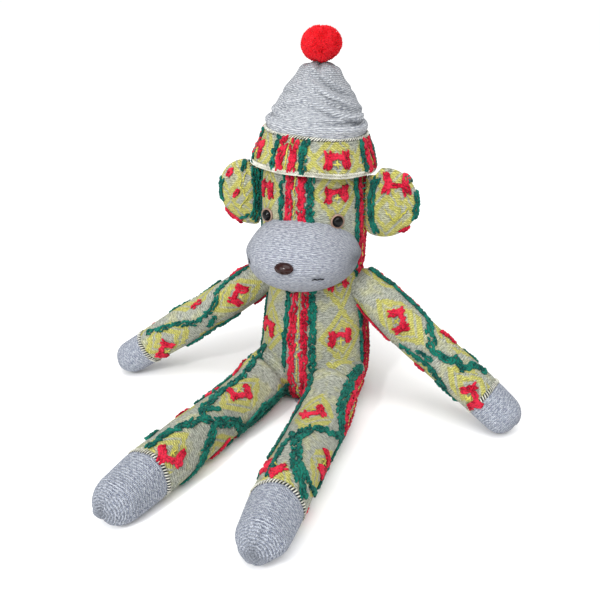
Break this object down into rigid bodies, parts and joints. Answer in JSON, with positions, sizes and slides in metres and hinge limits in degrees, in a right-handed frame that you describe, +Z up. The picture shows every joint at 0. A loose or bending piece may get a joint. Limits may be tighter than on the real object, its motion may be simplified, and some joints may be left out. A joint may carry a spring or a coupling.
{
  "type": "stuffed sock monkey",
  "caption": "Sitting sock-knit toy monkey with tube limbs, a bowl-shaped muzzle, flat round ears, safety eyes and a cone hat with a pom-pom.",
  "frame": {"origin": "on the flat seat under the middle of the torso", "axes": "+Z up along the torso; the face looks along -Y; the monkey's left is +X"},
  "size_m": [0.3728, 0.3929, 0.3159],
  "materials": {
    "patterned_knit": "jacquard sock knit worn inside out, with raised float yarns",
    "grey_knit": "heather marl jersey knit",
    "fibrefill": "white polyester filling",
    "pale_thread": "ladder stitches and overlock in pale cotton",
    "green_thread": "doubled sewing thread",
    "red_thread": "doubled sewing thread",
    "dark_thread": "dark sewing thread",
    "pompom_wool": "brushed felt-like wool fibres",
    "nose_plastic": "moulded safety nose, glossy",
    "eye_rim_plastic": "bronze-tinted rim of a safety eye",
    "eye_dome_plastic": "black domed pupil, high gloss",
    "washer_plastic": "pressed-on lock washer"
  },
  "bodies": {
    "torso": {"torso_skin": "patterned_knit", "torso_stuffing": "fibrefill", "seat_heel_patch": "grey_knit"},
    "neck": {"neck_gathering_thread": "green_thread"},
    "head": {"head_skin": "patterned_knit", "head_stuffing": "fibrefill", "muzzle_skin": "grey_knit", "muzzle_stuffing": "fibrefill", "mouth_stitches": "dark_thread", "nose": "nose_plastic", "nose_washer": "washer_plastic", "right_eye_rim": "eye_rim_plastic", "right_eye_dome": "eye_dome_plastic", "right_eye_washer": "washer_plastic", "left_eye_rim": "eye_rim_plastic", "left_eye_dome": "eye_dome_plastic", "left_eye_washer": "washer_plastic", "right_ear_stitches": "green_thread", "left_ear_stitches": "green_thread", "hat_cone": "grey_knit", "hat_brim": "patterned_knit", "hat_hem": "pale_thread", "hat_stuffing": "fibrefill"},
    "pompom": {"pompom": "pompom_wool", "pompom_tie": "pompom_wool"},
    "tail_base": {"tail_base_stitches": "green_thread"},
    "tail": {"tail_skin": "patterned_knit", "tail_stuffing": "fibrefill", "tail_tip": "grey_knit", "tail_tip_stitches": "pale_thread"},
    "right_hip": {"right_hip_stitches": "green_thread"},
    "right_leg": {"right_leg_skin": "patterned_knit", "right_leg_stuffing": "fibrefill", "right_foot": "grey_knit", "right_ankle_stitches": "pale_thread"},
    "right_shoulder": {"right_shoulder_stitches": "red_thread"},
    "right_arm": {"right_arm_skin": "patterned_knit", "right_arm_stuffing": "fibrefill", "right_hand": "grey_knit", "right_wrist_stitches": "pale_thread"},
    "right_ear": {"right_ear_skin": "patterned_knit", "right_ear_stuffing": "fibrefill"},
    "left_hip": {"left_hip_stitches": "green_thread"},
    "left_leg": {"left_leg_skin": "patterned_knit", "left_leg_stuffing": "fibrefill", "left_foot": "grey_knit", "left_ankle_stitches": "pale_thread"},
    "left_shoulder": {"left_shoulder_stitches": "red_thread"},
    "left_arm": {"left_arm_skin": "patterned_knit", "left_arm_stuffing": "fibrefill", "left_hand": "grey_knit", "left_wrist_stitches": "pale_thread"},
    "left_ear": {"left_ear_skin": "patterned_knit", "left_ear_stuffing": "fibrefill"}
  },
  "joints": [
    {"name": "right_leg_spread", "type": "hinge", "parent": "torso", "child": "right_hip", "pos_m": [-0.028, -0.0186, 0.0232], "axis": [0, 0, -1], "range_deg": [-12, 18]},
    {"name": "right_leg_swing", "type": "hinge", "parent": "right_hip", "child": "right_leg", "pos_m": [-0.028, -0.0186, 0.0232], "axis": [0.9686, -0.2487, 0], "range_deg": [-10, 80]},
    {"name": "right_arm_reach", "type": "hinge", "parent": "torso", "child": "right_shoulder", "pos_m": [-0.0455, -0.0058, 0.1033], "axis": [0, 0, 1], "range_deg": [-18, 25]},
    {"name": "right_arm_lift", "type": "hinge", "parent": "right_shoulder", "child": "right_arm", "pos_m": [-0.0455, -0.0058, 0.1033], "axis": [-0.2368, 0.9715, 0], "range_deg": [-14, 40]},
    {"name": "right_ear_fold", "type": "hinge", "parent": "head", "child": "right_ear", "pos_m": [-0.04759, -0.006, 0.1792], "axis": [0, 0, 1], "range_deg": [-22, 22]},
    {"name": "left_leg_spread", "type": "hinge", "parent": "torso", "child": "left_hip", "pos_m": [0.028, -0.0186, 0.0232], "axis": [0, 0, 1], "range_deg": [-1, 32]},
    {"name": "left_leg_swing", "type": "hinge", "parent": "left_hip", "child": "left_leg", "pos_m": [0.028, -0.0186, 0.0232], "axis": [0.9999, -0.0105, 0], "range_deg": [-10, 80]},
    {"name": "left_arm_reach", "type": "hinge", "parent": "torso", "child": "left_shoulder", "pos_m": [0.0455, -0.0058, 0.1033], "axis": [0, 0, -1], "range_deg": [-18, 25]},
    {"name": "left_arm_lift", "type": "hinge", "parent": "left_shoulder", "child": "left_arm", "pos_m": [0.0455, -0.0058, 0.1033], "axis": [-0.2368, -0.9715, 0], "range_deg": [-14, 40]},
    {"name": "left_ear_fold", "type": "hinge", "parent": "head", "child": "left_ear", "pos_m": [0.04159, -0.006, 0.1792], "axis": [0, 0, -1], "range_deg": [-22, 22]},
    {"name": "head_turn", "type": "hinge", "parent": "torso", "child": "neck", "pos_m": [0, 0, 0.1212], "axis": [0, 0, 1], "range_deg": [-19, 19]},
    {"name": "head_nod", "type": "hinge", "parent": "neck", "child": "head", "pos_m": [0, 0, 0.1212], "axis": [-1, 0, 0], "range_deg": [-5, 9]},
    {"name": "pompom_sway", "type": "hinge", "parent": "head", "child": "pompom", "pos_m": [0.00232, 0, 0.28625], "axis": [0, 1, 0], "range_deg": [-12, 12]},
    {"name": "tail_sway", "type": "hinge", "parent": "torso", "child": "tail_base", "pos_m": [0, 0.052, 0.0105], "axis": [0, 0, 1], "range_deg": [-24, 24]},
    {"name": "tail_lift", "type": "hinge", "parent": "tail_base", "child": "tail", "pos_m": [0, 0.052, 0.0105], "axis": [1, 0, 0], "range_deg": [0, 20]}
  ]
}
